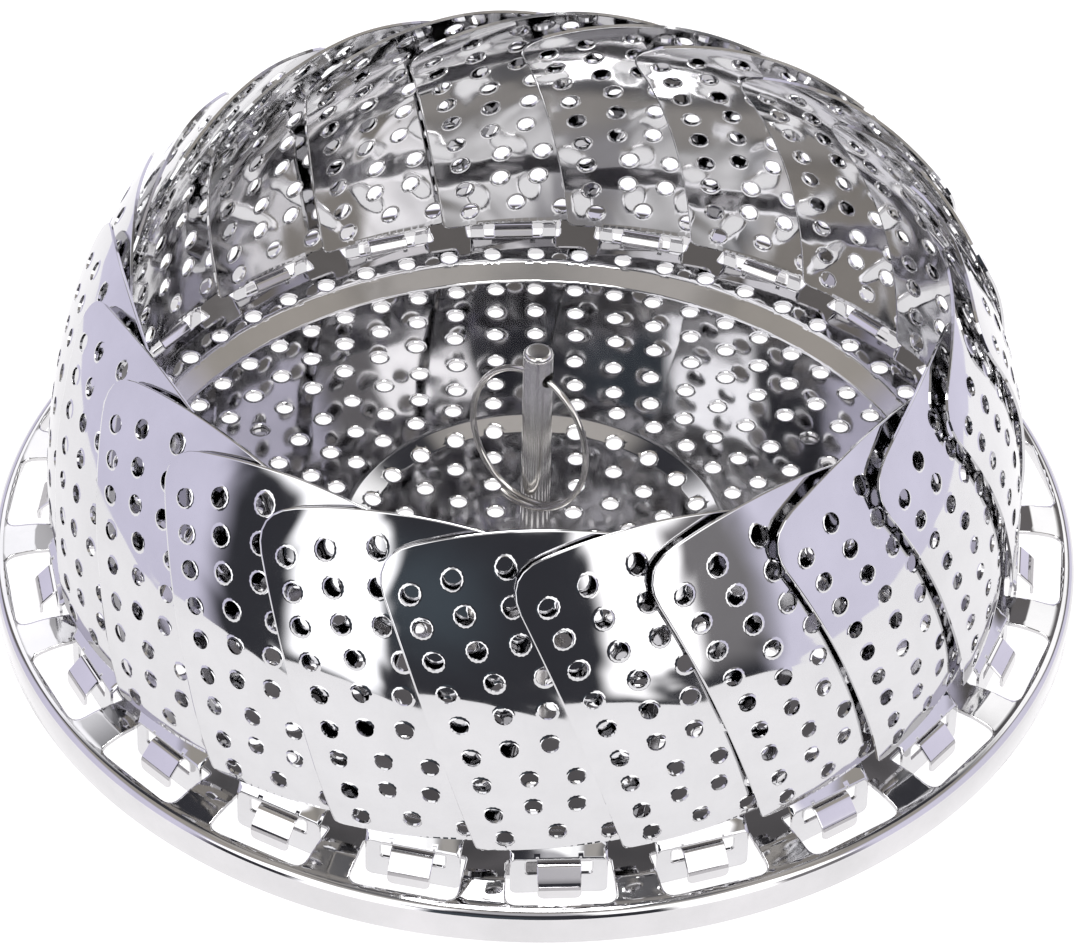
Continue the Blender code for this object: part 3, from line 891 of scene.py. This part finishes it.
def make_floor():
    """A plain pale table top, narrow so that the basket's sides mirror the room, its shadows kept faint."""
    shape = bmesh.new()
    bmesh.ops.create_circle(shape, cap_ends=True, segments=128, radius=table_radius)
    mesh = bpy.data.meshes.new("floor")
    shape.to_mesh(mesh)
    shape.free()
    made = bpy.data.materials.new("floor_pale")
    made.use_nodes = True
    shader = made.node_tree.nodes["Principled BSDF"]
    shader.inputs["Base Color"].default_value = (0.2, 0.2, 0.2, 1)
    shader.inputs["Roughness"].default_value = 0.8
    shader.inputs["Emission Color"].default_value = (1.0, 0.99, 1.0, 1)
    shader.inputs["Emission Strength"].default_value = 0.98
    floor = add_piece("floor", mesh, made)
    floor.location = (0.0, table_shift, 0.0)
    floor.scale = (table_squeeze, 1.0, 1.0)


def make_lamp():
    """A soft box straight above, facing down."""
    data = bpy.data.lights.new("top_box", "AREA")
    data.shape = "RECTANGLE"
    data.size = lamp_size
    data.size_y = lamp_size
    data.energy = lamp_power
    lamp = bpy.data.objects.new("top_box", data)
    bpy.context.scene.collection.objects.link(lamp)
    lamp.location = (0.0, 0.0, lamp_height)


# Patches of the room, each over those before: left, right, low, high and softness in degrees, then colour
room_patches = (
    ((-190, 190, 72, 95, 3), (0.19, 0.19, 0.2, 1)),
    ((-190, 190, 62, 72, 3), (0.54, 0.515, 0.485, 1)),
    ((-125, -58, 40, 62, 3), (0.46, 0.43, 0.39, 1)),
    ((58, 125, 40, 62, 3), (0.46, 0.43, 0.39, 1)),
    ((-26, 26, 40, 62, 4), (0.66, 0.65, 0.68, 1)),
    ((-22, 2, -2, 20, 9), (0.075, 0.092, 0.11, 1)),
    ((44, 64, -12, 26, 4), (0.26, 0.25, 0.26, 1)),
    ((-190, -62, -95, 40, 5), (0.86, 0.83, 1.02, 1)),
    ((64, 190, -95, 40, 5), (0.92, 0.89, 1.07, 1)),
    ((-190, -122, 20, 44, 5), (0.16, 0.15, 0.145, 1)),
    ((122, 190, 20, 44, 5), (0.16, 0.15, 0.145, 1)),
    ((-42, -19.5, -14, 24, 2.5), (2.1, 2.1, 2.15, 1)),
    ((27, 47, -12, 24, 2.5), (2.1, 2.08, 2.1, 1)),
    ((-64, -24, 22, 58, 3), (2.1, 2.1, 2.15, 1)),
    ((28, 66, 22, 60, 3), (2.1, 2.08, 2.1, 1)),
    ((-30, -17, 31, 58, 3), (2.0, 2.0, 2.05, 1)),
    ((13, 34, 30, 60, 3), (2.0, 2.0, 2.0, 1)),
    ((-50, -14, 54, 61, 3), (1.5, 1.5, 1.5, 1)),
    ((10, 46, 54, 61, 3), (1.5, 1.5, 1.5, 1)),
    ((128, 165, 30, 50, 4), (1.5, 1.5, 1.5, 1)),
    ((-172, -138, 26, 50, 4), (1.5, 1.5, 1.55, 1)),
)
bare_room = (0.045, 0.046, 0.055, 1)

# The colour sockets of a Mix node, by number because their names repeat
mix_under = 6
mix_over = 7
mix_out = 2


def make_room():
    """A plain studio: dim in front, pale side walls and bright windows. The camera's own rays see white.

    Azimuth 0 is the camera's side, and it grows towards the photograph's right.
    """
    world = bpy.data.worlds.new("studio")
    bpy.context.scene.world = world
    world.use_nodes = True
    tree = world.node_tree
    background = tree.nodes["Background"]
    place = node(tree, "ShaderNodeTexCoord")
    split = node(tree, "ShaderNodeSeparateXYZ")
    tree.links.new(place.outputs["Generated"], split.inputs[0])

    def maths(operation, first, second=None):
        made = node(tree, "ShaderNodeMath", operation=operation)
        for socket, value in zip(made.inputs, (first, second)):
            if value is None:
                continue
            if isinstance(value, (int, float)):
                socket.default_value = value
            else:
                tree.links.new(value, socket)
        return made.outputs[0]

    toward = maths("MULTIPLY", split.outputs["Y"], -1.0)
    azimuth = maths("MULTIPLY", maths("ARCTAN2", split.outputs["X"], toward), 180 / math.pi)
    height = maths("MULTIPLY", maths("ARCSINE", split.outputs["Z"]), 180 / math.pi)

    def edge(value, start, end):
        made = node(tree, "ShaderNodeMapRange", interpolation_type="SMOOTHSTEP")
        made.inputs["From Min"].default_value = start
        made.inputs["From Max"].default_value = end
        tree.links.new(value, made.inputs["Value"])
        return made.outputs["Result"]

    def patch(left, right, low, high, soft):
        leftward = edge(azimuth, left - soft, left + soft)
        rightward = edge(azimuth, right + soft, right - soft)
        upward = edge(height, low - soft, low + soft)
        downward = edge(height, high + soft, high - soft)
        across = maths("MULTIPLY", leftward, rightward)
        return maths("MULTIPLY", across, maths("MULTIPLY", upward, downward))

    room = None
    for extent, colour in room_patches:
        mix = node(tree, "ShaderNodeMix", data_type="RGBA")
        tree.links.new(patch(*extent), mix.inputs["Factor"])
        if room is None:
            mix.inputs[mix_under].default_value = bare_room
        else:
            tree.links.new(room, mix.inputs[mix_under])
        mix.inputs[mix_over].default_value = colour
        room = mix.outputs[mix_out]
    path = node(tree, "ShaderNodeLightPath")
    seen = node(tree, "ShaderNodeMix", data_type="RGBA")
    tree.links.new(path.outputs["Is Camera Ray"], seen.inputs["Factor"])
    tree.links.new(room, seen.inputs[mix_under])
    seen.inputs[mix_over].default_value = (1.0, 1.0, 1.0, 1)
    tree.links.new(seen.outputs[mix_out], background.inputs["Color"])
    background.inputs["Strength"].default_value = 1.0


make_camera()
make_floor()
make_room()
make_lamp()
bpy.context.scene.view_settings.view_transform = "Standard"
